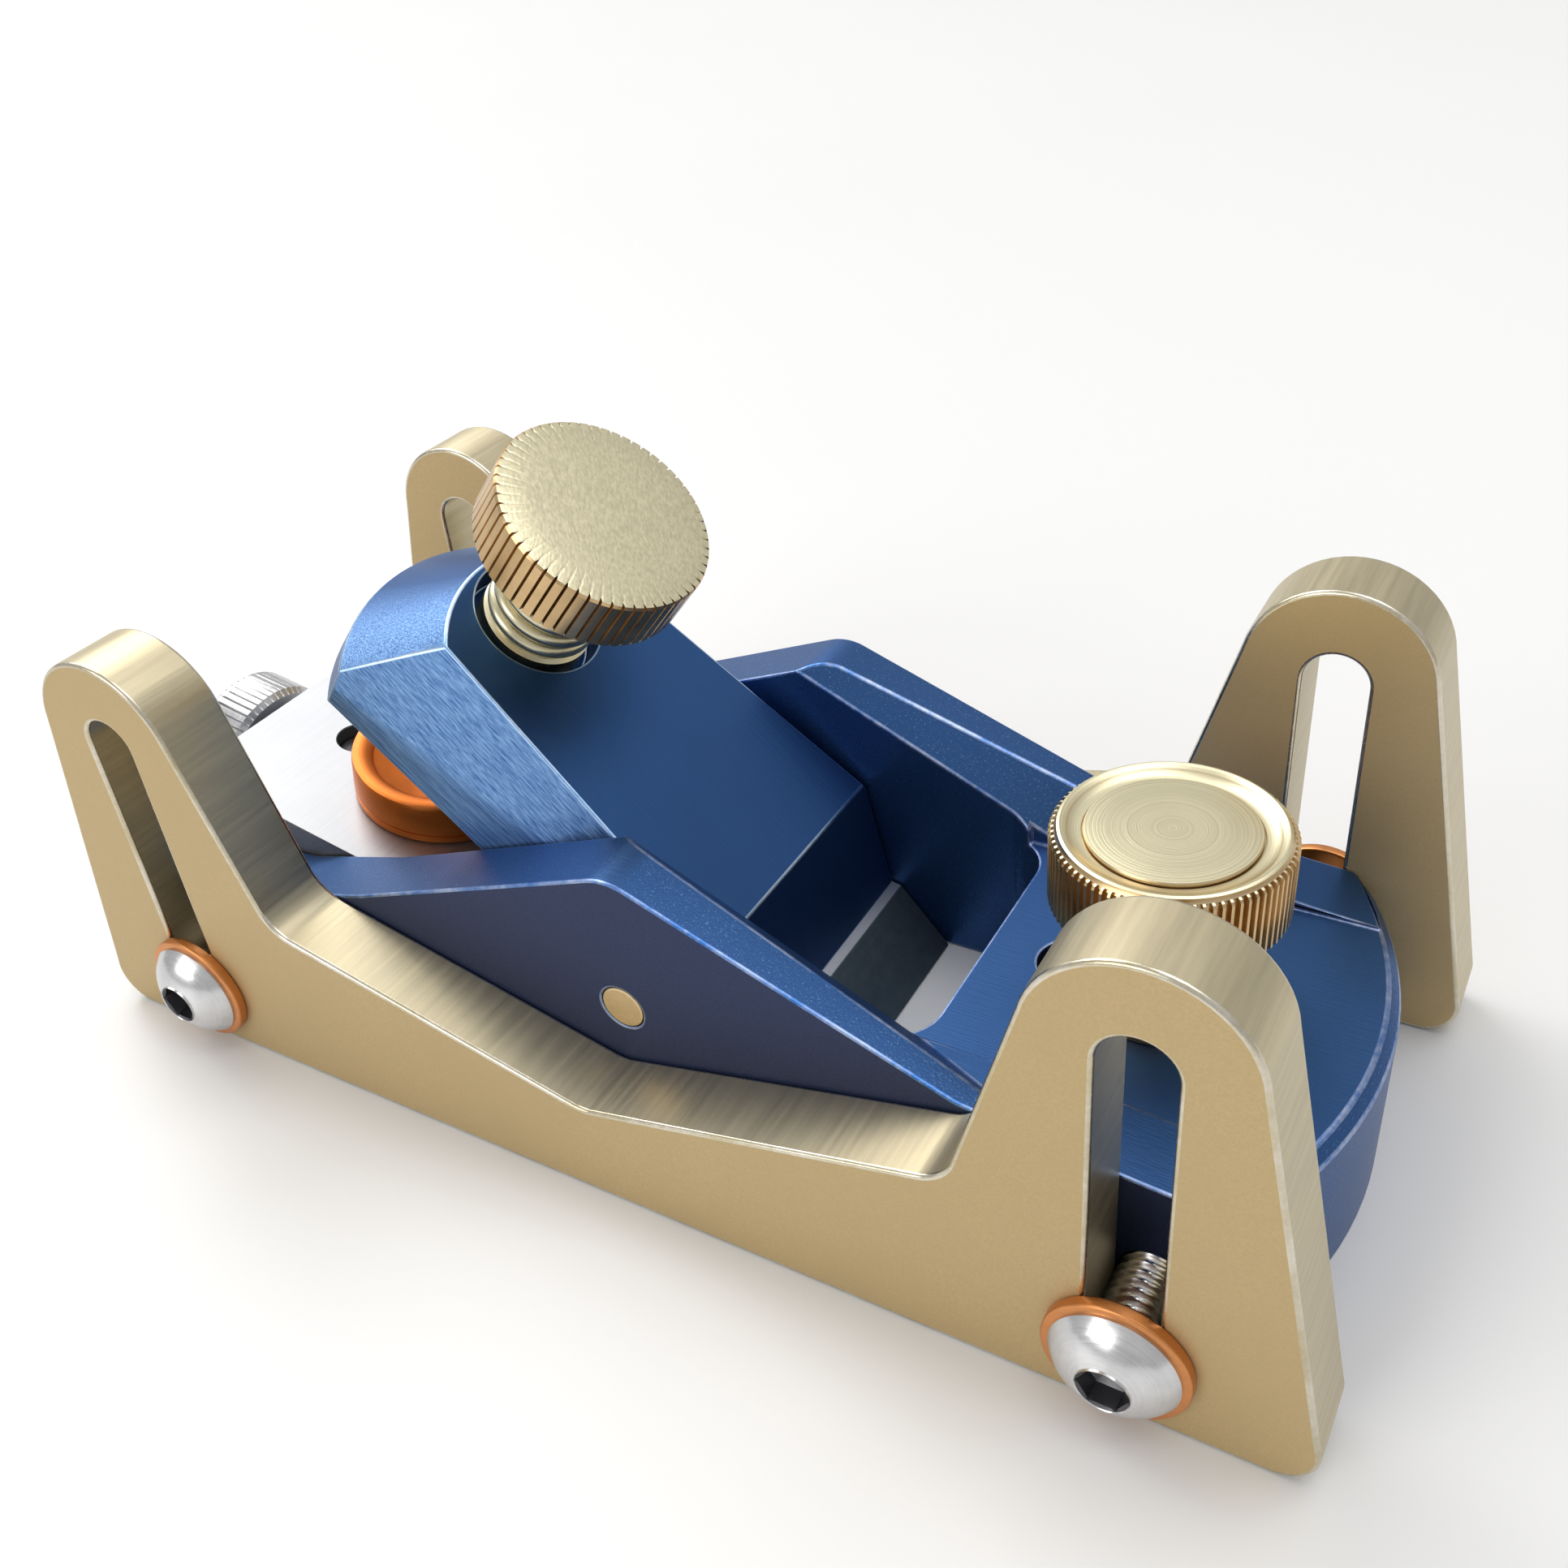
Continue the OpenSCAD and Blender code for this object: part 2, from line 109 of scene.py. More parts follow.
def only(piece):
    """Selects one piece and makes it the active one."""
    bpy.ops.object.select_all(action="DESELECT")
    piece.select_set(True)
    bpy.context.view_layer.objects.active = piece


def mark(piece, test):
    """Selects the vertices of a piece that pass a test of their place."""
    only(piece)
    bpy.ops.object.mode_set(mode="EDIT")
    bpy.ops.mesh.select_mode(type="VERT")
    bpy.ops.mesh.select_all(action="DESELECT")
    bpy.ops.object.mode_set(mode="OBJECT")
    for vertex in piece.data.vertices:
        vertex.select = bool(test(vertex.co))
    bpy.ops.object.mode_set(mode="EDIT")


def turned(name, outline, segments=96, loop=False):
    """Turns an outline of (radius, height) points in millimetres on an upright axis."""
    bpy.ops.object.select_all(action="DESELECT")
    radius, height = outline[0]
    bpy.ops.mesh.primitive_circle_add(
        vertices=segments, radius=radius * MM, fill_type="NOTHING"
    )
    piece = bpy.context.object
    piece.name = name
    bpy.ops.object.mode_set(mode="EDIT")
    bpy.ops.mesh.select_all(action="SELECT")
    bpy.ops.transform.translate(value=(0, 0, height * MM))
    for next_radius, next_height in outline[1:] + outline[:1] * loop:
        rise = (next_height - height) * MM
        bpy.ops.mesh.extrude_region_move(TRANSFORM_OT_translate={"value": (0, 0, rise)})
        share = next_radius / radius
        bpy.ops.transform.resize(
            value=(share, share, 1), center_override=(0, 0, next_height * MM)
        )
        radius, height = next_radius, next_height
    bpy.ops.mesh.select_all(action="SELECT")
    if loop:
        bpy.ops.mesh.remove_doubles(threshold=1e-7)
    else:
        bpy.ops.mesh.fill_holes(sides=0)
    bpy.ops.mesh.select_all(action="SELECT")
    bpy.ops.mesh.normals_make_consistent(inside=False)
    bpy.ops.object.mode_set(mode="OBJECT")
    return piece


def arc(centre_r, centre_z, radius, start, end, steps):
    """Points of an arc of an outline, by angles in degrees from the outward direction."""
    points = []
    for i in range(steps + 1):
        angle = math.radians(start + (end - start) * i / steps)
        points.append(
            (centre_r + radius * math.cos(angle), centre_z + radius * math.sin(angle))
        )
    return points


def cut_teeth(piece, low, high, rim, depth, count, share):
    """Presses straight grooves into a rim between two heights, in millimetres."""
    def in_groove(co):
        place = math.atan2(co.y, co.x) / math.tau * count % 1
        near = min(place, 1 - place) < share / 2
        flat = math.hypot(co.x, co.y) / MM
        return near and low <= co.z / MM <= high and flat > rim - 0.45

    mark(piece, in_groove)
    press = (rim - depth) / rim
    bpy.ops.transform.resize(value=(press, press, 1), center_override=(0, 0, 0))
    bpy.ops.object.mode_set(mode="OBJECT")


def cut_thread(piece, low, high, crest, depth, pitch):
    """Draws the wall of a rod in and out along a helix, in millimetres."""
    for vertex in piece.data.vertices:
        place = vertex.co / MM
        radius = math.hypot(place.x, place.y)
        if radius < crest - 0.01 or not low <= place.z <= high:
            continue
        turn = math.atan2(place.y, place.x) / math.tau
        phase = (place.z / pitch - turn) % 1
        ease = min(1, (place.z - low) / pitch, (high - place.z) / pitch)
        wave = 0.5 + 0.5 * math.cos(math.tau * phase)
        press = 1 - depth * ease * wave ** 0.8 / radius
        vertex.co.x *= press
        vertex.co.y *= press


def cut_socket(piece, low, high, radius, across):
    """Brings the round wall of a hole between two heights to six flats."""
    for vertex in piece.data.vertices:
        place = vertex.co / MM
        flat = math.hypot(place.x, place.y)
        if abs(flat - radius) > 0.02 or not low <= place.z <= high:
            continue
        angle = math.atan2(place.y, place.x) % math.radians(60) - math.radians(30)
        wanted = across / 2 / math.cos(angle)
        vertex.co.x *= wanted / flat
        vertex.co.y *= wanted / flat


def use_modifier(piece, kind, **settings):
    """Adds a modifier to a piece and applies it."""
    only(piece)
    modifier = piece.modifiers.new(kind.title(), kind)
    for key, value in settings.items():
        setattr(modifier, key, value)
    bpy.ops.object.modifier_apply(modifier=modifier.name)


def break_edges(piece, width, steps=2):
    """Takes the sharpness off the edges of a piece; the new faces get its second finish."""
    use_modifier(
        piece,
        "BEVEL",
        width=width,
        segments=steps,
        limit_method="ANGLE",
        angle_limit=math.radians(32),
        use_clamp_overlap=False,
        material=len(piece.data.materials) - 1,
    )


def soften(piece, angle=35):
    """Shades a piece smooth, apart from its edges."""
    only(piece)
    bpy.ops.object.shade_smooth_by_angle(angle=math.radians(angle))


def keep_flats_flat(piece):
    """Shades the large flat faces as flat, right up to their rounded edges."""
    use_modifier(piece, "WEIGHTED_NORMAL", keep_sharp=True, weight=90)


def place(piece, matrix):
    """Moves a piece and puts its place into its mesh."""
    only(piece)
    piece.matrix_world = matrix
    bpy.ops.object.transform_apply(location=True, rotation=True, scale=True)


def finish_with(piece, *finishes):
    """Gives a piece its finishes, one to each slot."""
    piece.data.materials.clear()
    for item in finishes:
        piece.data.materials.append(item)


def machined(name, node, finishes, width, steps=2):
    """A copy of a part of the frame, with its edges broken."""
    piece = bpy.data.objects.new(name, PARTS[node].data.copy())
    bpy.context.scene.collection.objects.link(piece)
    only(piece)
    bpy.ops.mesh.customdata_custom_splitnormals_clear()
    bpy.ops.object.mode_set(mode="EDIT")
    bpy.ops.mesh.select_all(action="SELECT")
    bpy.ops.mesh.remove_doubles(threshold=WELD)
    bpy.ops.mesh.dissolve_limited(angle_limit=math.radians(0.8))
    bpy.ops.object.mode_set(mode="OBJECT")
    finish_with(piece, *finishes)
    for face in piece.data.polygons:
        face.material_index = 0
    break_edges(piece, width, steps)
    soften(piece)
    keep_flats_flat(piece)
    return piece


def side_outlines(node, side_y):
    """The closed outlines of the flat side of a part, as points in millimetres."""
    mesh = PARTS[node].data
    rim = {}
    for face in mesh.polygons:
        corners = [mesh.vertices[i].co for i in face.vertices]
        if any(abs(co.y - side_y) > LEVEL for co in corners):
            continue
        keys = [(round(co.x / MM, 3), round(co.z / MM, 3)) for co in corners]
        for one, other in zip(keys, keys[1:] + keys[:1]):
            if (other, one) in rim:
                del rim[(other, one)]
            else:
                rim[(one, other)] = True
    follow = dict(rim.keys())
    outlines = []
    while follow:
        start = next(iter(follow))
        points, here = [], start
        while here in follow:
            points.append(here)
            here = follow.pop(here)
        outlines.append(tidy_outline(points))
    return outlines


def tidy_outline(points):
    """Drops the points that stand too close to the one before."""
    kept = []
    for point in points:
        if not kept or math.dist(kept[-1], point) > SHORTEST:
            kept.append(point)
    if math.dist(kept[0], kept[-1]) <= SHORTEST:
        kept.pop()
    return kept


def inward(outline):
    """For each point of an outline, the way into the metal for one millimetre of inset."""
    count = len(outline)
    ways = []
    for i, (x, z) in enumerate(outline):
        before, after = outline[i - 1], outline[(i + 1) % count]
        first = Vector((x - before[0], z - before[1])).normalized()
        second = Vector((after[0] - x, after[1] - z)).normalized()
        way = Vector((first.y + second.y, -first.x - second.x)).normalized()
        ways.append(way / max(0.5, way.dot(Vector((first.y, -first.x)))))
    return ways


def sawn(name, node, finishes, width, steps=3):
    """A plate sawn out along the side outline of a part of the frame, edges rounded."""
    low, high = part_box(node)
    turns = [math.radians(90 * i / steps) for i in range(steps + 1)]
    steps_in = [(width * (1 - math.cos(t)), width * (1 - math.sin(t))) for t in turns]
    levels = [(low.y + rise, inset) for rise, inset in steps_in]
    levels += [(high.y - rise, inset) for rise, inset in steps_in[::-1]]
    rings = []
    for outline in side_outlines(node, high.y):
        if len(outline) < LEAST_POINTS:
            continue
        ways = dict(zip(outline, inward(outline)))
        bpy.ops.object.select_all(action="DESELECT")
        bpy.ops.mesh.primitive_circle_add(
            vertices=len(outline), radius=high.z, fill_type="NOTHING"
        )
        ring = bpy.context.object
        for vertex, (x, z) in zip(ring.data.vertices, outline):
            vertex.co = (x * MM, low.y, z * MM)
        bpy.ops.object.mode_set(mode="EDIT")
        bpy.ops.mesh.select_all(action="SELECT")
        for one, other in zip(levels, levels[1:]):
            bpy.ops.mesh.extrude_region_move(
                TRANSFORM_OT_translate={"value": (0, other[0] - one[0], 0)}
            )
        bpy.ops.object.mode_set(mode="OBJECT")
        for vertex in ring.data.vertices:
            inset = min(levels, key=lambda item: abs(item[0] - vertex.co.y))[1]
            spot = min(
                outline, key=lambda p: math.dist(p, (vertex.co.x / MM, vertex.co.z / MM))
            )
            vertex.co.x += ways[spot].x * inset
            vertex.co.z += ways[spot].y * inset
        rings.append(ring)
    piece = rings[0]
    only(piece)
    for ring in rings:
        ring.select_set(True)
    bpy.ops.object.join()
    piece.name = name
    piece.data.name = name
    for side_y in (low.y, high.y):
        mark(piece, lambda spot: abs(spot.y - side_y) < LEVEL)
        bpy.ops.mesh.fill(use_beauty=True)
        bpy.ops.object.mode_set(mode="OBJECT")
    bpy.ops.object.mode_set(mode="EDIT")
    bpy.ops.mesh.select_all(action="SELECT")
    bpy.ops.mesh.normals_make_consistent(inside=False)
    bpy.ops.object.mode_set(mode="OBJECT")
    finish_with(piece, *finishes)
    middle = (low.y + high.y) / 2
    for face in piece.data.polygons:
        spans = [abs(piece.data.vertices[i].co.y - middle) for i in face.vertices]
        rounded = max(spans) - min(spans) > LEVEL
        face.material_index = 1 if rounded else 0
    soften(piece, 50)
    keep_flats_flat(piece)
    return piece


def fit(piece, body, slot, *nodes):
    """Puts a piece in place of parts of the frame, on the body that carries them."""
    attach(piece, body)
    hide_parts(*nodes)


# ---- finishes ----

class Wire:
    """A value on its way through the nodes of a finish, which can be written in sums."""

    def __init__(self, bench, socket):
        self.bench = bench
        self.socket = socket

    def sum(self, operation, *values):
        inputs = dict(enumerate(values))
        return self.bench.node("ShaderNodeMath", {"operation": operation}, inputs)

    def __add__(self, other):
        return self.sum("ADD", self, other)

    def __radd__(self, other):
        return self.sum("ADD", other, self)

    def __sub__(self, other):
        return self.sum("SUBTRACT", self, other)

    def __rsub__(self, other):
        return self.sum("SUBTRACT", other, self)

    def __mul__(self, other):
        return self.sum("MULTIPLY", self, other)

    def __rmul__(self, other):
        return self.sum("MULTIPLY", other, self)

    def __truediv__(self, other):
        return self.sum("DIVIDE", self, other)

    def __abs__(self):
        return self.sum("ABSOLUTE", self)

    def between(self, low, high):
        """0 under the low value and 1 over the high one, or the other way round."""
        inputs = {0: self, 1: low, 2: high, 3: 0.0, 4: 1.0}
        return self.bench.node("ShaderNodeMapRange", {"clamp": True}, inputs)


class Bench:
    """Where the nodes of one finish are laid out and wired."""

    def __init__(self, name):
        self.finish = bpy.data.materials.new(name)
        self.finish.use_nodes = True
        self.tree = self.finish.node_tree
        self.surface = self.tree.nodes["Principled BSDF"]

    def node(self, kind, settings=None, inputs=None, output=0):
        """Adds a node of a kind, sets it, wires its inputs and gives back an output."""
        made = self.tree.nodes.new(kind)
        for key, value in (settings or {}).items():
            if key == "stops":
                self.set_stops(made.color_ramp, value)
            else:
                setattr(made, key, value)
        for key, value in (inputs or {}).items():
            if isinstance(value, Wire):
                self.tree.links.new(value.socket, made.inputs[key])
            else:
                made.inputs[key].default_value = value
        return Wire(self, made.outputs[output])

    def set_stops(self, ramp, stops):
        while len(ramp.elements) < len(stops):
            ramp.elements.new(0.5)
        for element, (position, colour) in zip(ramp.elements, stops):
            element.position = position
            element.color = colour

    def coordinate(self, which="Object"):
        return self.node("ShaderNodeTexCoord", output=which)

    def stretched(self, scale, turn=(0, 0, 0), start=(0, 0, 0)):
        """Object coordinates, turned and then stretched."""
        moved = self.node(
            "ShaderNodeMapping",
            {"vector_type": "TEXTURE"},
            {"Vector": self.coordinate(), "Location": start, "Rotation": turn},
        )
        return self.node(
            "ShaderNodeMapping", {"vector_type": "POINT"}, {"Vector": moved, "Scale": scale}
        )

    def noise(self, vector, scale, detail=3.0, rough=0.55, twist=0.0):
        inputs = {
            "Vector": vector,
            "Scale": scale,
            "Detail": detail,
            "Roughness": rough,
            "Distortion": twist,
        }
        return self.node("ShaderNodeTexNoise", None, inputs)

    def parts(self, vector):
        """The three numbers of a vector."""
        made = self.node("ShaderNodeSeparateXYZ", None, {0: vector})
        outputs = made.socket.node.outputs
        return [Wire(self, outputs[i]) for i in range(3)]

    def joined(self, x, y, z):
        return self.node("ShaderNodeCombineXYZ", None, {0: x, 1: y, 2: z})

    def blend(self, share, first, second):
        """A colour between two colours."""
        inputs = {"Factor": share, "A": first, "B": second}
        settings = {"data_type": "RGBA", "clamp_factor": True}
        made = self.node("ShaderNodeMix", settings)
        node = made.socket.node
        sockets = {"Factor": node.inputs[0], "A": node.inputs[6], "B": node.inputs[7]}
        for key, value in inputs.items():
            if isinstance(value, Wire):
                self.tree.links.new(value.socket, sockets[key])
            else:
                sockets[key].default_value = value
        return Wire(self, node.outputs[2])

    def bump(self, height, depth, strength=1.0, under=None):
        inputs = {"Height": height, "Distance": depth, "Strength": strength}
        if under is not None:
            inputs["Normal"] = under
        return self.node("ShaderNodeBump", None, inputs)

    def coat(self, **values):
        """Sets or wires the sockets of the surface, by names with _ for spaces."""
        for key, value in values.items():
            socket = self.surface.inputs[key.replace("_", " ").title()]
            if isinstance(value, Wire):
                self.tree.links.new(value.socket, socket)
            else:
                socket.default_value = value
        return self.finish


def rgb(colour, share=1.0):
    return (colour[0] * share, colour[1] * share, colour[2] * share, 1.0)


def skid_finish(colours):
    """Champagne anodised plate: blasted faces, edges milled across the plate."""
    bench = Bench("skid_champagne")
    x, y, z = bench.parts(bench.coordinate("Normal"))
    face = abs(y).between(0.55, 0.95)
    milled = bench.noise(bench.stretched((1, 0.04, 1)), 1900.0, 4.0, 0.6)
    waves = bench.noise(bench.stretched((1, 0.15, 1)), 260.0, 2.0, 0.5)
    blasted = bench.noise(bench.stretched((1, 1, 1)), 5200.0, 2.0, 0.6)
    cloud = bench.noise(bench.stretched((1, 1, 1)), 70.0, 3.0, 0.6)
    tone = bench.blend(
        cloud.between(0.3, 0.7), rgb(colours.skid_face, 0.93), rgb(colours.skid_face, 1.04)
    )
    grain = bench.blend(blasted.between(0.35, 0.75), rgb(colours.skid_face, 0.9), tone)
    edge = bench.blend(
        milled.between(0.25, 0.75), rgb(colours.skid_edge, 0.86), rgb(colours.skid_edge, 1.12)
    )
    height = face * blasted * 0.35 + (1 - face) * (milled * 0.7 + waves * 0.5)
    return bench.coat(
        base_color=bench.blend(face, edge, grain),
        metallic=0.55 + 0.35 * (1 - face),
        roughness=0.3 + face * 0.17 + 0.14 * milled * (1 - face) + cloud * 0.06,
        normal=bench.bump(height, 0.00004, 0.5),
    )


def worn_edge(name, colour, gloss):
    """A broken edge: the same colour, paler and smoother, with small nicks."""
    bench = Bench(name)
    nick = bench.noise(bench.stretched((1, 1, 1)), 1400.0, 3.0, 0.65)
    long_wear = bench.noise(bench.stretched((1, 1, 1)), 160.0, 2.0, 0.5)
    worn = (nick * 0.5 + long_wear * 0.7).between(0.45, 0.85)
    return bench.coat(
        base_color=bench.blend(worn, rgb(colour), rgb([0.45 + 0.55 * c for c in colour])),
        metallic=1.0,
        roughness=gloss + nick * 0.12,
        normal=bench.bump(nick, 0.00001, 0.2),
    )


def body_finish(colours):
    """Blue anodised body: blasted outside and on the slopes, brushed on the deck, with painted
    glints on the slopes.
    """
    bench = Bench("body_blue")
    x, y, z = bench.parts(bench.coordinate("Normal"))
    across = bench.parts(bench.coordinate("Object"))[1]
    side = abs(y).between(0.6, 0.95) * abs(across).between(0.0193, 0.0198)
    level = z.between(0.96, 0.995)
    brushed = bench.noise(bench.stretched((0.03, 1, 1)), 7000.0, 3.0, 0.6)
    blasted = bench.noise(bench.stretched((1, 1, 1)), 4200.0, 2.0, 0.7)
    # Painted glints: bright specks of the glint colour scattered over the slopes.
    painted_glint_spots = bench.noise(bench.stretched((1, 1, 1)), 6500.0, 1.0, 0.5).between(0.62, 0.8)
    cloud = bench.noise(bench.stretched((1, 1, 1)), 55.0, 3.0, 0.6)
    slope = (1 - side) * (1 - level)
    plain = bench.blend(cloud, rgb(colours.blue, 0.9), rgb(colours.blue, 1.1))
    slope_painted_glints = bench.blend(painted_glint_spots * slope * 0.5, plain, rgb(colours.blue_glint))
    outside = bench.blend(
        blasted.between(0.3, 0.8), rgb(colours.blue_side, 0.85), rgb(colours.blue_side, 1.15)
    )
    height = level * brushed * 0.8 + (1 - level) * blasted * 0.9
    return bench.coat(
        base_color=bench.blend(side, slope_painted_glints, outside),
        metallic=0.88 - side * 0.22,
        roughness=0.36 + side * 0.12 - level * 0.04 + cloud * 0.06 + brushed * level * 0.1,
        normal=bench.bump(height, 0.00005, 0.55),
    )


def cap_finish(colours):
    """Blue anodised lever cap: brushed down the slope, more strongly on the bevels, which also
    carry a painted highlight.
    """
    bench = Bench("cap_blue")
    axis = joint_axis("thumbscrew_turn")[1]
    lean = math.atan2(axis.x, axis.z)
    x, y, z = bench.parts(bench.coordinate("Normal"))
    bevel = abs(y).between(0.12, 0.4) * (1 - (0 - x).between(0.4, 0.62))
    fine = bench.noise(bench.stretched((0.03, 1, 1), (0, lean, 0)), 7500.0, 3.0, 0.6)
    coarse = bench.noise(bench.stretched((0.05, 1, 1), (0, lean, 0)), 6500.0, 3.0, 0.6, 0.4)
    cloud = bench.noise(bench.stretched((1, 1, 1)), 60.0, 3.0, 0.6)
    lines = fine * (1 - bevel) * 0.6 + coarse * bevel
    plain = bench.blend(cloud, rgb(colours.blue, 0.85), rgb(colours.blue, 1.1))
    # Painted highlight: the bevels' colour runs from a lighter blue to the glint colour.
    painted_bevel_highlight = bench.blend(
        coarse.between(0.3, 0.7), rgb(colours.blue, 1.35), rgb(colours.blue_glint, 1.0)
    )
    return bench.coat(
        base_color=bench.blend(bevel, plain, painted_bevel_highlight),
        metallic=0.92,
        roughness=0.33 + fine * 0.12 + coarse * bevel * 0.12,
        normal=bench.bump(lines, 0.00006, 0.6),
    )


def plate_finish(colours):
    """Dark blue toe plate, milled along its length."""
    bench = Bench("toe_plate_blue")
    milled = bench.noise(bench.stretched((0.05, 1, 1)), 1800.0, 3.0, 0.6)
    cloud = bench.noise(bench.stretched((1, 1, 1)), 80.0, 3.0, 0.6)
    return bench.coat(
        base_color=bench.blend(cloud, rgb(colours.blue, 0.6), rgb(colours.blue, 0.85)),
        metallic=0.9,
        roughness=0.36 + milled * 0.15,
        normal=bench.bump(milled, 0.00004, 0.5),
    )


def knob_finish(name, colours, centre, axis, lines=True):
    """Champagne knob: a brushed face and a bronze knurl."""
    bench = Bench(name)
    turn = UP.rotation_difference(axis).to_euler()
    spot = bench.stretched((1, 1, 1), tuple(turn), tuple(centre))
    px, py, pz = bench.parts(spot)
    away = bench.node("ShaderNodeMath", {"operation": "SQRT"}, {0: px * px + py * py})
    facing = bench.node(
        "ShaderNodeVectorMath",
        {"operation": "DOT_PRODUCT"},
        {0: bench.coordinate("Normal"), 1: tuple(axis)},
        "Value",
    )
    top = facing.between(0.5, 0.9)
    rings = bench.noise(bench.joined(away, away, pz), 5200.0, 2.0, 0.6)
    straight = bench.noise(
        bench.stretched((1, 0.02, 1), (turn.x, turn.y, 0.9), tuple(centre)), 3800.0, 3.0, 0.6
    )
    marks = straight if lines else rings
    cloud = bench.noise(bench.stretched((1, 1, 1)), 300.0, 3.0, 0.6)
    face = bench.blend(
        marks.between(0.3, 0.7), rgb(colours.knob_face, 0.94), rgb(colours.knob_face, 1.22)
    )
    side = bench.blend(
        cloud.between(0.3, 0.7), rgb(colours.knob_side, 0.85), rgb(colours.knob_side, 1.15)
    )
    return bench.coat(
        base_color=bench.blend(top, side, face),
        metallic=0.95,
        roughness=0.22 + marks * top * 0.16 + cloud * 0.07,
        normal=bench.bump(marks * top + cloud * (1 - top) * 0.4, 0.00004, 0.5),
    )


def turned_finish(name, colour, centre, axis, gloss, depth=0.3):
    """Lathe-turned metal, with fine rings round its axis."""
    bench = Bench(name)
    turn = UP.rotation_difference(axis).to_euler()
    px, py, pz = bench.parts(bench.stretched((1, 1, 1), tuple(turn), tuple(centre)))
    away = bench.node("ShaderNodeMath", {"operation": "SQRT"}, {0: px * px + py * py})
    rings = bench.noise(bench.joined(away, away, pz), 4200.0, 3.0, 0.6)
    scuff = bench.noise(bench.stretched((1, 1, 1)), 900.0, 4.0, 0.65)
    return bench.coat(
        base_color=bench.blend(
            (rings * 0.5 + scuff * 0.5).between(0.3, 0.7), rgb(colour, 0.84), rgb(colour, 1.08)
        ),
        metallic=1.0,
        roughness=gloss + rings * 0.1 + scuff * 0.08,
        normal=bench.bump(rings, 0.00003, depth),
    )


def blade_finish(colours):
    """Ground steel: fine lines across the blade, and a bevel painted darker as painted shade."""
    bench = Bench("blade_steel")
    x, y, z = bench.parts(bench.coordinate("Normal"))
    ground = x.between(0.3, 0.45)
    across = bench.noise(bench.stretched((1, 0.04, 1)), 2400.0, 4.0, 0.6)
    spots = bench.noise(bench.stretched((1, 1, 1)), 700.0, 4.0, 0.7)
    cloud = bench.noise(bench.stretched((1, 1, 1)), 60.0, 3.0, 0.6)
    plain = bench.blend(
        (across * 0.6 + cloud * 0.4).between(0.3, 0.7),
        rgb(colours.steel, 0.84),
        rgb(colours.steel, 1.05),
    )
    # Painted shade: the bevel faces take a dark colour with random spots.
    bevel = bench.blend(spots, rgb(colours.blade_bevel_shade, 0.7), rgb(colours.blade_bevel_shade, 1.2))
    return bench.coat(
        base_color=bench.blend(ground, plain, bevel),
        metallic=0.9,
        roughness=0.4 + across * 0.14 + ground * 0.05,
        normal=bench.bump(across, 0.00003, 0.4),
    )


def pad_finish(colours, centre, axis):
    """Orange anodised pad, turned."""
    bench = Bench("pad_orange")
    turn = UP.rotation_difference(axis).to_euler()
    px, py, pz = bench.parts(bench.stretched((1, 1, 1), tuple(turn), tuple(centre)))
    away = bench.node("ShaderNodeMath", {"operation": "SQRT"}, {0: px * px + py * py})
    rings = bench.noise(bench.joined(away, away, pz), 3600.0, 3.0, 0.6)
    cloud = bench.noise(bench.stretched((1, 1, 1)), 200.0, 3.0, 0.6)
    return bench.coat(
        base_color=bench.blend(
            cloud.between(0.3, 0.7), rgb(colours.pad, 0.82), rgb(colours.pad, 1.12)
        ),
        metallic=0.75,
        roughness=0.3 + rings * 0.12,
        normal=bench.bump(rings, 0.00003, 0.35),
    )


def floor_finish(colours):
    """A pale, plain tabletop."""
    bench = Bench("table_pale")
    cloud = bench.noise(bench.stretched((1, 1, 1)), 6.0, 3.0, 0.5)
    return bench.coat(
        base_color=bench.blend(cloud, rgb(colours.table, 0.985), rgb(colours.table)),
        roughness=0.34 + cloud * 0.05,
    )


# ---- settings ----

def length(name, description, default):
    return FloatProperty(
        name=name, description=description, default=default, min=0.0, unit="LENGTH", precision=5
    )


def tint(name, description, default):
    return FloatVectorProperty(
        name=name, description=description, default=default, size=3, min=0, max=1,
        subtype="COLOR",
    )


class PlaneSizes(bpy.types.PropertyGroup):
    """Sizes of the small features that the frame leaves sharp or plain."""

    skid_break: length("Skid edges", "Width of the broken edges of the skids", 0.00035)
    body_break: length("Body edges", "Width of the broken edges of the body", 0.00025)
    cap_break: length("Cap edges", "Width of the broken edges of the lever cap", 0.0002)
    blade_break: length("Blade edges", "Width of the broken edges of the blade", 0.0001)
    thumb_teeth: IntProperty(
        name="Thumb teeth", description="Grooves round the thumbscrew knob", default=60, min=12
    )
    toe_teeth: IntProperty(
        name="Toe teeth", description="Grooves round the toe knob", default=84, min=12
    )
    tooth_depth: length("Tooth depth", "Depth of the grooves of the knobs", 0.00045)
    thread_pitch: length("Thread pitch", "Pitch of the clamp screws' threads", 0.0008)


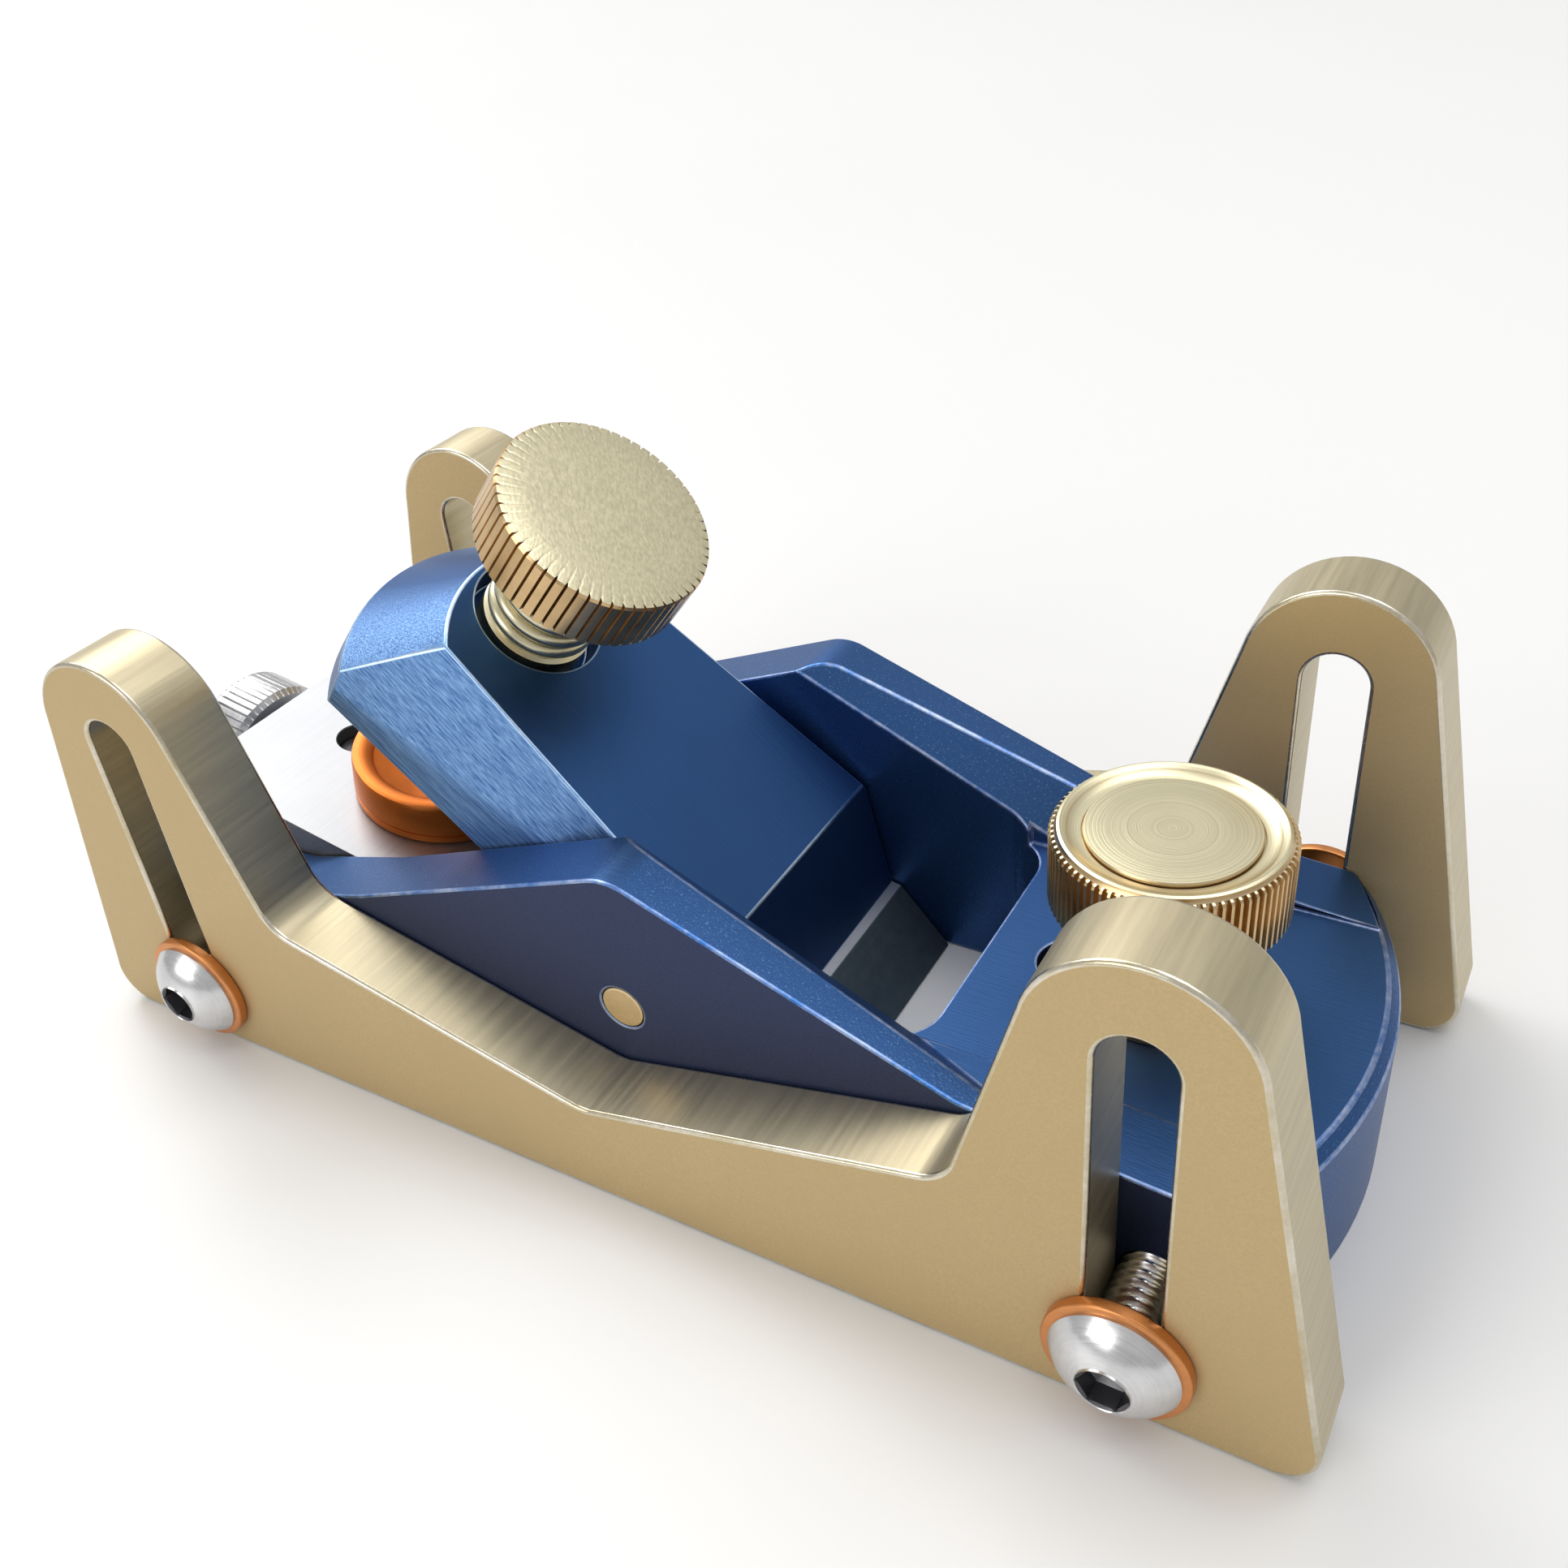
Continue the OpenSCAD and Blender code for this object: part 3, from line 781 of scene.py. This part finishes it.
class PlaneColours(bpy.types.PropertyGroup):
    """Colours of the finishes."""

    skid_face: tint("Skid face", "Blasted faces of the skids", (0.60, 0.45, 0.23))
    skid_edge: tint("Skid edge", "Milled edges of the skids", (0.56, 0.49, 0.33))
    blue: tint("Blue", "Anodised blue", (0.035, 0.10, 0.27))
    blue_side: tint("Blue side", "Outer sides of the body", (0.035, 0.05, 0.12))
    # Painted highlight colour: glints on the body's slopes, the lever cap's bevels and the cap's
    # broken edges.
    blue_glint: tint("Blue glint", "Glints and strong brushing in the blue", (0.26, 0.45, 0.75))
    knob_face: tint("Knob face", "Faces of the knobs", (0.72, 0.66, 0.45))
    knob_side: tint("Knob side", "Knurled sides of the knobs", (0.60, 0.42, 0.22))
    copper: tint("Copper", "Washers", (0.72, 0.30, 0.11))
    stainless: tint("Stainless", "Clamp screws and studs", (0.72, 0.72, 0.73))
    # Also the painted shade inside the clamp screws' hex sockets.
    dark_steel: tint("Dark steel", "Adjuster yoke", (0.12, 0.12, 0.13))
    steel: tint("Blade", "Top of the blade", (0.50, 0.51, 0.53))
    # Painted shade colour of the blade's bevel.
    blade_bevel_shade: tint("Blade bevel", "Ground bevel of the blade", (0.13, 0.17, 0.19))
    pad: tint("Pad", "Pressure pad", (0.75, 0.20, 0.03))
    brass: tint("Brass", "Cross pin", (0.75, 0.58, 0.34))
    table: tint("Table", "Tabletop", (0.80, 0.80, 0.80))


# ---- pieces ----

class PLANE_OT_skids(bpy.types.Operator):
    """Makes the two side skids with milled, broken edges"""

    bl_idname = "block_plane.skids"
    bl_label = "Skids"

    def execute(self, context):
        sizes, colours = context.scene.plane_sizes, context.scene.plane_colours
        plate = skid_finish(colours)
        edge = worn_edge("skid_edge", colours.skid_edge, 0.2)
        for side in ("left", "right"):
            node = side + "_skid"
            piece = sawn(node + "_plate", node, (plate, edge), sizes.skid_break, 3)
            fit(piece, node, "champagne", node)
        return {"FINISHED"}


class PLANE_OT_body(bpy.types.Operator):
    """Makes the plane body with blasted slopes and a brushed deck"""

    bl_idname = "block_plane.body"
    bl_label = "Body"

    def execute(self, context):
        sizes, colours = context.scene.plane_sizes, context.scene.plane_colours
        edge = worn_edge("blue_edge", [c * 1.6 for c in colours.blue], 0.28)
        piece = machined(
            "plane_body", "body", (body_finish(colours), edge), sizes.body_break, 2
        )
        # the thin lip where the rod's bore meets the bed stays behind the yoke's pocket
        wall, lip_y, lip_z = -52.4, 2.3, (11.9, 12.8)
        for vertex in piece.data.vertices:
            x, y, z = vertex.co / MM
            if wall < x < wall + 1.1 and abs(y) < lip_y and lip_z[0] < z < lip_z[1]:
                vertex.co.x = wall * MM
        fit(piece, "body", "anodised_blue", "body")
        low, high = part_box("cross_pin")
        axis = joint_axis("lever_cap_tilt")[1]
        brass = turned_finish("pin_brass", colours.brass, (low + high) / 2, axis, 0.3)
        pin = machined("brass_pin", "cross_pin", (brass,), sizes.body_break)
        fit(pin, "body", "pin_brass", "cross_pin")
        return {"FINISHED"}


class PLANE_OT_lever_cap(bpy.types.Operator):
    """Makes the lever cap with brushed faces"""

    bl_idname = "block_plane.lever_cap"
    bl_label = "Lever cap"

    def execute(self, context):
        sizes, colours = context.scene.plane_sizes, context.scene.plane_colours
        # The cap's broken edges take the glint colour as a painted highlight, with worn nicks
        # over it.
        edge = worn_edge("cap_edge_wear_and_painted_highlight", colours.blue_glint, 0.25)
        piece = machined(
            "cap_lever", "lever_cap", (cap_finish(colours), edge), sizes.cap_break, 2
        )
        fit(piece, "lever_cap", "anodised_blue", "lever_cap")
        return {"FINISHED"}


class PLANE_OT_blade(bpy.types.Operator):
    """Makes the blade and the yoke that drives it"""

    bl_idname = "block_plane.blade"
    bl_label = "Blade"

    def execute(self, context):
        sizes, colours = context.scene.plane_sizes, context.scene.plane_colours
        steel = blade_finish(colours)
        piece = machined("ground_blade", "blade", (steel,), sizes.blade_break, 1)
        fit(piece, "blade", "blade_steel", "blade")
        low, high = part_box("adjuster_yoke")
        axis = Vector(JOINTS["blade_slide"]["axis"])
        dark = turned_finish("yoke_steel", colours.dark_steel, (low + high) / 2, axis, 0.35)
        yoke = machined("drive_yoke", "adjuster_yoke", (dark,), sizes.body_break * 1.6, 2)
        slack = 0.97
        for vertex in yoke.data.vertices:
            vertex.co.y *= slack
        fit(yoke, "blade", "dark_steel", "adjuster_yoke")
        return {"FINISHED"}


class PLANE_OT_adjuster(bpy.types.Operator):
    """Makes the depth adjuster's rod and knurled knob"""

    bl_idname = "block_plane.adjuster"
    bl_label = "Depth adjuster"

    def execute(self, context):
        sizes, colours = context.scene.plane_sizes, context.scene.plane_colours
        point, axis = joint_axis("adjuster_turn")
        steel = turned_finish("adjuster_steel", colours.stainless, point, axis, 0.16)
        low, high, radius = (v / MM for v in reach("adjuster_knob", point, axis))
        count = sizes.thumb_teeth
        depth = sizes.tooth_depth / MM
        knob = turned(
            "adjuster_wheel",
            [(0.3, low), (radius - 2.2, low), (radius - 1.7, low + 0.25)]
            + [(radius - 1.1, low + 0.1), (radius - 0.5, low + 0.35), (radius, low + 0.9)]
            + [(radius, high - 0.7), (radius - 0.55, high - 0.1), (radius - 1.1, high)]
            + [(2.9, high), (0.3, high)],
            count * 6,
        )
        cut_teeth(knob, low + 0.5, high - 0.6, radius, depth, count, 0.3)
        place(knob, stand(point, axis))
        finish_with(knob, steel)
        soften(knob, 28)
        fit(knob, "adjuster", "stainless", "adjuster_knob")
        low, high, radius = (v / MM for v in reach("adjuster_rod", point, axis))
        yoke_low, yoke_high, _ = (v / MM for v in reach("adjuster_yoke", point, axis))
        neck = radius - 0.5
        steps = int((high - yoke_high - 0.4) / 0.1)
        rings = [(radius, yoke_high + 0.3 + i * 0.1) for i in range(steps)]
        rod = turned(
            "adjuster_screw",
            [(0.3, low), (radius, low), (radius, yoke_low - 0.06), (neck, yoke_low - 0.05)]
            + [(neck, yoke_high + 0.05), (radius, yoke_high + 0.06)]
            + rings
            + [(radius, high - 0.1), (radius - 0.3, high), (0.3, high)],
            48,
        )
        cut_thread(rod, yoke_high + 0.3, high - 0.1, radius, 0.4, sizes.thread_pitch / MM)
        place(rod, stand(point, axis))
        finish_with(rod, steel)
        soften(rod, 30)
        fit(rod, "adjuster", "stainless", "adjuster_rod")
        return {"FINISHED"}


class PLANE_OT_thumbscrew(bpy.types.Operator):
    """Makes the thumbscrew: its knurled knob, ridged collar, shank and ball end"""

    bl_idname = "block_plane.thumbscrew"
    bl_label = "Thumbscrew"

    def execute(self, context):
        sizes, colours = context.scene.plane_sizes, context.scene.plane_colours
        point, axis = joint_axis("thumbscrew_turn")
        low, high, radius = (v / MM for v in reach("thumbscrew_knob", point, axis))
        count = sizes.thumb_teeth
        knob = turned(
            "thumb_knob",
            [(0.3, low + 0.3), (5.1, low + 0.3), (5.3, low), (radius - 1.2, low)]
            + [(radius - 0.35, low + 0.35), (radius, low + 0.75), (radius, low + 2.6)]
            + [(radius, high - 0.55), (radius - 0.14, high - 0.3)]
            + [(radius - 0.75, high - 0.2), (radius * 0.7, high - 0.08)]
            + [(radius * 0.35, high - 0.02), (0.3, high)],
            count * 8,
        )
        cut_teeth(knob, low + 0.3, high - 0.25, radius, sizes.tooth_depth / MM, count, 0.1)
        place(knob, stand(point, axis))
        finish_with(knob, knob_finish("thumb_champagne", colours, point, axis))
        soften(knob, 28)
        fit(knob, "thumbscrew", "knob_champagne", "thumbscrew_knob")

        end, _, collar = (v / MM for v in reach("thumbscrew_shank", point, axis))
        ball = 2.6
        centre = end + ball
        shank = 3.9
        ridges = []
        for i in range(3):
            foot = 0.2 + i * 1.6
            ridges += [(collar - 0.5, foot), (collar - 0.5, foot + 0.1)]
            ridges += arc(collar - 0.7, foot + 0.83, 0.7, -82, 82, 10)
            ridges += [(collar - 0.5, foot + 1.55)]
        rings = [(shank, centre + 5.4 + i * 0.1) for i in range(int((-3 - centre - 5.6) / 0.1))]
        rod = turned(
            "thumb_shank",
            arc(0, centre, ball, -84, 46, 16)
            + [(1.9, centre + 2.2), (1.9, centre + 5.2), (shank - 0.5, centre + 5.3)]
            + rings
            + [(shank, -2.5), (collar - 0.15, -2.5), (collar, -2.3), (collar, -0.1)]
            + ridges
            + [(collar - 0.2, 5.3), (collar - 0.2, low + 0.25), (0.3, low + 0.25)],
            64,
        )
        cut_thread(rod, centre + 5.4, -3.0, shank, 0.45, 1.0)
        place(rod, stand(point, axis))
        finish_with(rod, turned_finish("shank_champagne", colours.knob_face, point, axis, 0.2))
        soften(rod, 30)
        fit(rod, "thumbscrew", "knob_champagne", "thumbscrew_shank")
        return {"FINISHED"}


class PLANE_OT_pad(bpy.types.Operator):
    """Makes the dished pad that presses on the blade"""

    bl_idname = "block_plane.pad"
    bl_label = "Pressure pad"

    def execute(self, context):
        colours = context.scene.plane_colours
        slide = Vector(JOINTS["blade_slide"]["axis"])
        axis = Vector((-slide.z, 0, slide.x)).normalized()
        point, screw = joint_axis("thumbscrew_turn")
        end = reach("thumbscrew_shank", point, screw)[0]
        centre = point + (end + 2.6 * MM) * screw
        low, high, radius = (v / MM for v in reach("pressure_pad", centre, axis))
        cup = 2.65
        piece = turned(
            "orange_pad",
            [(0.3, low), (radius - 0.4, low), (radius - 0.05, low + 0.3)]
            + [(radius - 0.05, low + 0.85), (radius - 0.25, low + 0.95)]
            + [(radius - 0.25, low + 1.1), (radius, low + 1.2)]
            + [(radius, high - 0.45), (radius - 0.12, high - 0.12), (radius - 0.45, high)]
            + [(radius - 1.3, high), (radius - 1.6, high - 0.12), (7.4, high - 0.35)]
            + [(7.2, 0.05), (6.2, -0.3), (3.3, -0.9)]
            + arc(0, 0, cup, -22, -84, 10),
            96,
        )
        place(piece, stand(centre, axis))
        finish_with(piece, pad_finish(colours, centre, axis))
        soften(piece, 30)
        fit(piece, "pressure_pad", "pad_orange", "pressure_pad")
        return {"FINISHED"}


class PLANE_OT_toe(bpy.types.Operator):
    """Makes the sliding toe plate, its stud and its washer"""

    bl_idname = "block_plane.toe"
    bl_label = "Toe plate"

    def execute(self, context):
        sizes, colours = context.scene.plane_sizes, context.scene.plane_colours
        plate = machined(
            "sliding_toe", "toe_plate", (plate_finish(colours),), sizes.blade_break, 1
        )
        fit(plate, "toe_plate", "plate_blue", "toe_plate")
        centre, axis = joint_axis("toe_knob_turn")
        low, high, radius = (v / MM for v in reach("toe_stud", centre, axis))
        rings = [(radius, low + 5 + i * 0.1) for i in range(int((high - low - 5.6) / 0.1))]
        stud = turned(
            "threaded_stud",
            [(0.3, low), (radius - 0.3, low), (radius, low + 0.3)]
            + rings
            + [(radius, high - 0.3), (radius - 0.3, high), (0.3, high)],
            48,
        )
        cut_thread(stud, low + 5, high - 0.5, radius, 0.4, sizes.thread_pitch / MM)
        place(stud, stand(centre, axis))
        finish_with(stud, turned_finish("stud_steel", colours.stainless, centre, axis, 0.2))
        soften(stud, 30)
        fit(stud, "toe_knob", "stainless", "toe_stud")
        ring = washer("copper_toe_washer", "toe_washer", centre, axis, 2.7)
        finish_with(ring, turned_finish("toe_copper", colours.copper, centre, axis, 0.24, 0.4))
        fit(ring, "toe_plate", "copper", "toe_washer")
        return {"FINISHED"}


class PLANE_OT_toe_knob(bpy.types.Operator):
    """Makes the toe knob with its fine knurl and hollowed ring"""

    bl_idname = "block_plane.toe_knob"
    bl_label = "Toe knob"

    def execute(self, context):
        sizes, colours = context.scene.plane_sizes, context.scene.plane_colours
        centre, axis = joint_axis("toe_knob_turn")
        low, top, rim = (v / MM for v in reach("toe_knob", centre, axis))
        head = top - 7.0
        count = sizes.toe_teeth
        knob = turned(
            "knurled_toe_knob",
            [(2.52, low), (5.0, low), (5.2, low + 0.2), (5.2, head - 0.3), (5.5, head)]
            + [(rim - 0.9, head), (rim, head + 0.6), (rim, head + 3.2), (rim, top - 0.75)]
            + [(rim - 0.18, top - 0.5), (rim - 0.4, top - 0.42), (rim - 0.5, top - 0.3)]
            + [(rim - 0.6, top - 0.08), (rim - 0.82, top), (rim - 1.05, top - 0.07)]
            + [(rim - 1.35, top - 0.32), (rim - 1.7, top - 0.55), (rim - 2.1, top - 0.66)]
            + [(rim - 2.38, top - 0.66), (rim - 2.4, top - 0.9), (rim - 2.5, top - 0.9)]
            + [(rim - 2.52, top - 0.42), (rim - 2.62, top - 0.3), (rim - 2.9, top - 0.26)]
            + [(3.0, top - 0.22), (0.3, top - 0.22)],
            count * 6,
        )
        cut_teeth(knob, head + 0.1, top - 0.45, rim, sizes.tooth_depth / MM, count, 0.4)
        place(knob, stand(centre, axis))
        finish_with(knob, knob_finish("toe_champagne", colours, centre, axis, False))
        soften(knob, 28)
        fit(knob, "toe_knob", "knob_champagne", "toe_knob")
        return {"FINISHED"}


def washer(name, node, point, axis, bore):
    """A flat washer with rounded rims, in place of a part of the frame."""
    low, high, radius = (v / MM for v in reach(node, point, axis))
    ring = turned(
        name,
        [(bore, low + 0.12), (bore + 0.12, low), (radius - 0.2, low)]
        + arc(radius - 0.2, low + 0.2, 0.2, -70, 0, 3)
        + arc(radius - 0.2, high - 0.2, 0.2, 0, 90, 4)
        + [(bore + 0.12, high), (bore, high - 0.12)],
        72,
        loop=True,
    )
    place(ring, stand(point, axis))
    soften(ring, 40)
    return ring


class PLANE_OT_clamps(bpy.types.Operator):
    """Makes the four button-head clamp screws and their copper washers"""

    bl_idname = "block_plane.clamps"
    bl_label = "Clamp screws"

    def execute(self, context):
        sizes, colours = context.scene.plane_sizes, context.scene.plane_colours
        # Painted shade: a dark steel finish stands in for the shade inside the hex sockets.
        dark = turned_finish("socket_painted_shade", colours.dark_steel, Vector(), UP, 0.35)
        for name in sorted(j for j in JOINTS if j.endswith("_screw_turn")):
            node = name[: -len("_turn")]
            corner = node[: -len("_screw")]
            point, axis = joint_axis(name)
            low, high, head = (v / MM for v in reach(node, point, axis))
            base = high - 2.75
            shank = 2.5
            rings = [(shank, low + 0.3 + i * 0.1) for i in range(int((base - low - 0.5) / 0.1))]
            screw = turned(
                corner + "_button_screw",
                [(0.3, low), (shank - 0.3, low)]
                + rings
                + [(shank, base), (head - 0.15, base), (head, base + 0.15), (head, base + 0.4)]
                + arc(0, high - 6.2, 6.2, 48.5, 71, 9)
                + [(1.98, high - 0.16), (1.92, high - 0.24), (1.86, high - 0.38)]
                + [(1.86, high - 1.9), (1.2, high - 2.1), (0.3, high - 2.25)],
                96,
            )
            cut_socket(screw, high - 1.95, high - 0.36, 1.86, 3.3)
            cut_thread(screw, low + 0.3, base - 0.3, shank, 0.42, sizes.thread_pitch / MM)
            place(screw, stand(point, axis))
            finish_with(
                screw,
                turned_finish(corner + "_steel", colours.stainless, point, axis, 0.14, 0.15),
                dark,
            )
            # Faces inside the socket, below its rim, take the painted shade finish.
            for face in screw.data.polygons:
                away = face.center - point
                along = away.dot(axis)
                off = (away - along * axis).length
                inside = along > (high - 2.4) * MM and off < 1.9 * MM
                face.material_index = int(inside and face.normal.dot(axis) < 0.9)
            soften(screw, 30)
            fit(screw, node, "stainless", node)
            ring = washer(corner + "_copper_washer", corner + "_washer", point, axis, 2.7)
            finish_with(
                ring, turned_finish(corner + "_copper", colours.copper, point, axis, 0.24, 0.4)
            )
            fit(ring, "body", "copper", corner + "_washer")
        return {"FINISHED"}


# ---- stage ----

def softbox(name, place_at, aim, size, power, colour=(1, 1, 1)):
    """A square area light that looks at a point."""
    data = bpy.data.lights.new(name, "AREA")
    data.shape = "RECTANGLE"
    data.size, data.size_y = size
    data.energy = power
    data.color = colour
    lamp = bpy.data.objects.new(name, data)
    lamp.location = place_at
    lamp.rotation_euler = (Vector(aim) - Vector(place_at)).to_track_quat("-Z", "Y").to_euler()
    bpy.context.scene.collection.objects.link(lamp)


class PLANE_OT_stage(bpy.types.Operator):
    """Sets the tabletop, the soft lights, the room's light and the camera"""

    bl_idname = "block_plane.stage"
    bl_label = "Stage"

    def execute(self, context):
        colours = context.scene.plane_colours
        bpy.ops.object.select_all(action="DESELECT")
        bpy.ops.mesh.primitive_plane_add(size=40, location=(0, 0, CAD_BOX[0].z - 0.00005))
        floor = bpy.context.object
        floor.name = "tabletop"
        bpy.ops.object.transform_apply(location=True)
        finish_with(floor, floor_finish(colours))
        softbox("window", (-1.2, 0.6, 1.35), (0, 0, 0), (1.35, 1.35), 20, (1.0, 0.99, 0.97))
        softbox("overhead", (0.45, 0.3, 1.8), (0, 0, 0), (1.2, 1.2), 10)
        softbox("front", (-0.75, -1.65, 0.9), (0, 0, 0), (1.2, 0.9), 10, (1.0, 0.98, 0.95))
        world = bpy.data.worlds.new("room")
        world.use_nodes = True
        nodes, links = world.node_tree.nodes, world.node_tree.links
        room = nodes["Background"]
        room.inputs["Strength"].default_value = 0.62
        where = nodes.new("ShaderNodeTexCoord")
        split = nodes.new("ShaderNodeSeparateXYZ")
        ramp = nodes.new("ShaderNodeValToRGB")
        ramp.color_ramp.elements[0].position = 0.05
        ramp.color_ramp.elements[0].color = (0.8, 0.8, 0.8, 1)
        ramp.color_ramp.elements[1].position = 0.75
        ramp.color_ramp.elements[1].color = (1.0, 1.0, 1.0, 1)
        links.new(where.outputs["Generated"], split.inputs[0])
        links.new(split.outputs[2], ramp.inputs[0])
        links.new(ramp.outputs[0], room.inputs["Color"])
        context.scene.world = world
        context.scene.view_settings.view_transform = "Standard"
        eye = Vector((0.06393, -0.08896, 0.09891))
        right = Vector((0.86334, 0.49682, -0.08842))
        ahead = Vector((-0.45390, 0.68796, -0.56630))
        above = right.cross(ahead).normalized()
        turn = Matrix((right, above, -ahead)).transposed().to_4x4()
        data = bpy.data.cameras.new("camera")
        data.sensor_width = 36.0
        data.lens = 35.05
        data.clip_start, data.clip_end = 0.005, 20
        camera = bpy.data.objects.new("camera", data)
        camera.matrix_world = Matrix.Translation(eye) @ turn
        context.scene.collection.objects.link(camera)
        context.scene.camera = camera
        return {"FINISHED"}


# ---- panel and registration ----

STEPS = (
    PLANE_OT_stage,
    PLANE_OT_skids,
    PLANE_OT_body,
    PLANE_OT_lever_cap,
    PLANE_OT_blade,
    PLANE_OT_adjuster,
    PLANE_OT_thumbscrew,
    PLANE_OT_pad,
    PLANE_OT_toe,
    PLANE_OT_toe_knob,
    PLANE_OT_clamps,
)


class PLANE_PT_panel(bpy.types.Panel):
    """Lists the pieces of the block plane and their settings"""

    bl_idname = "PLANE_PT_panel"
    bl_label = "Block Plane"
    bl_space_type = "VIEW_3D"
    bl_region_type = "UI"
    bl_category = "Block Plane"

    def draw(self, context):
        layout = self.layout
        for group in (context.scene.plane_sizes, context.scene.plane_colours):
            for key in group.bl_rna.properties.keys():
                if key not in ("rna_type", "name"):
                    layout.prop(group, key)
        for step in STEPS:
            layout.operator(step.bl_idname)


CLASSES = (PlaneSizes, PlaneColours, *STEPS, PLANE_PT_panel)


def register():
    for item in CLASSES:
        bpy.utils.register_class(item)
    bpy.types.Scene.plane_sizes = PointerProperty(type=PlaneSizes)
    bpy.types.Scene.plane_colours = PointerProperty(type=PlaneColours)


def unregister():
    del bpy.types.Scene.plane_colours
    del bpy.types.Scene.plane_sizes
    for item in reversed(CLASSES):
        bpy.utils.unregister_class(item)


def main():
    register()
    for step in STEPS:
        group, _, name = step.bl_idname.partition(".")
        getattr(getattr(bpy.ops, group), name)()


if __name__ == "__main__":
    main()
